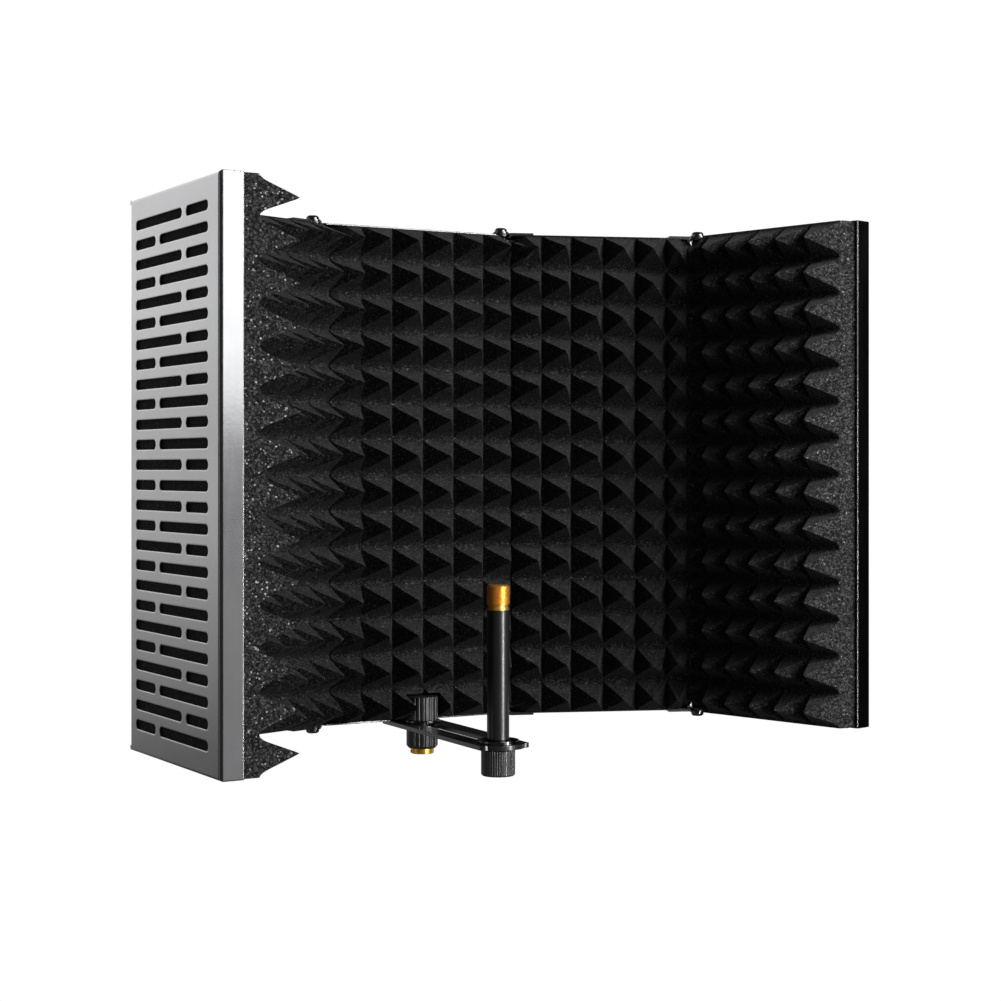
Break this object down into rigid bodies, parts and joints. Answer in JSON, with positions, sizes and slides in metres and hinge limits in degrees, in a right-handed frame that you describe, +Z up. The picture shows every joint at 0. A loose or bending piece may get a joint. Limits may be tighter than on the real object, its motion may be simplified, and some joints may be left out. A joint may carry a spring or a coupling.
{
  "type": "microphone isolation shield",
  "caption": "Folding microphone isolation shield: perforated metal panels on hinge bolts, lined with pyramid foam, on a slotted bar with a stand socket and a microphone post.",
  "frame": {"origin": "centre of the mouth of the stand socket, on its lower face", "axes": "+Z up; the centre panel runs along X and its foam faces -Y, towards the singer"},
  "size_m": [0.4995, 0.214, 0.3877],
  "materials": {
    "panel_metal": "gloss",
    "foam": "open-cell foam",
    "black_metal": "satin",
    "black_chrome": "polished",
    "bright_metal": "polished",
    "knob_black": "satin",
    "stud_steel": "satin",
    "brass": "polished"
  },
  "bodies": {
    "stand_socket": {"socket_body": "knob_black", "thread_adapter": "brass", "clamp_stud": "stud_steel", "clamp_washer": "bright_metal"},
    "clamp_knob": {"clamp_knob": "knob_black"},
    "centre_panel": {"panel_shell_3": "panel_metal", "foam_pad_3": "foam", "support_bar": "black_metal", "bar_screws": "black_chrome", "bar_screw_washers": "black_chrome", "bar_nuts": "bright_metal"},
    "left_panel": {"panel_shell_2": "panel_metal", "foam_pad_2": "foam", "hinge_straps_2": "black_metal", "hinge_bolts_2": "black_chrome", "hinge_washers_2": "black_chrome", "hinge_nuts_2": "bright_metal"},
    "left_end_panel": {"panel_shell_1": "panel_metal", "foam_pad_1": "foam"},
    "right_panel": {"panel_shell_4": "panel_metal", "foam_pad_4": "foam", "hinge_straps_4": "black_metal", "hinge_bolts_4": "black_chrome", "hinge_washers_4": "black_chrome", "hinge_nuts_4": "bright_metal"},
    "right_end_panel": {"panel_shell_5": "panel_metal", "foam_pad_5": "foam"},
    "mic_post": {"mic_post": "black_metal", "post_stud": "stud_steel", "post_tip": "brass", "post_washer": "bright_metal"},
    "post_nut": {"post_nut": "knob_black", "post_nut_washer": "bright_metal"}
  },
  "joints": [
    {"name": "bar_slide", "type": "slide", "parent": "stand_socket", "child": "centre_panel", "axis": [0, 1, 0], "range_m": [-0.0015, 0.04]},
    {"name": "clamp_knob_turn", "type": "hinge", "parent": "stand_socket", "child": "clamp_knob", "pos_m": [0, 0, 0.033], "axis": [0, 0, 1], "continuous": true},
    {"name": "left_hinge", "type": "hinge", "parent": "centre_panel", "child": "left_panel", "pos_m": [-0.0765, 0.022, 0.0221], "axis": [0, 0, 1], "range_deg": [-20, 40]},
    {"name": "left_end_hinge", "type": "hinge", "parent": "left_panel", "child": "left_end_panel", "pos_m": [-0.22027, -0.03033, 0.0221], "axis": [0, 0, 1], "range_deg": [-73, 7]},
    {"name": "right_hinge", "type": "hinge", "parent": "centre_panel", "child": "right_panel", "pos_m": [0.0765, 0.022, 0.0221], "axis": [0, 0, -1], "range_deg": [-19, 41]},
    {"name": "right_end_hinge", "type": "hinge", "parent": "right_panel", "child": "right_end_panel", "pos_m": [0.22116, -0.02781, 0.0221], "axis": [0, 0, -1], "range_deg": [-55, 25]},
    {"name": "post_slide", "type": "slide", "parent": "centre_panel", "child": "mic_post", "axis": [0, 1, 0], "range_m": [-0.005, 0.04]},
    {"name": "post_nut_turn", "type": "hinge", "parent": "mic_post", "child": "post_nut", "pos_m": [0, -0.117, 0.009], "axis": [0, 0, 1], "continuous": true}
  ]
}
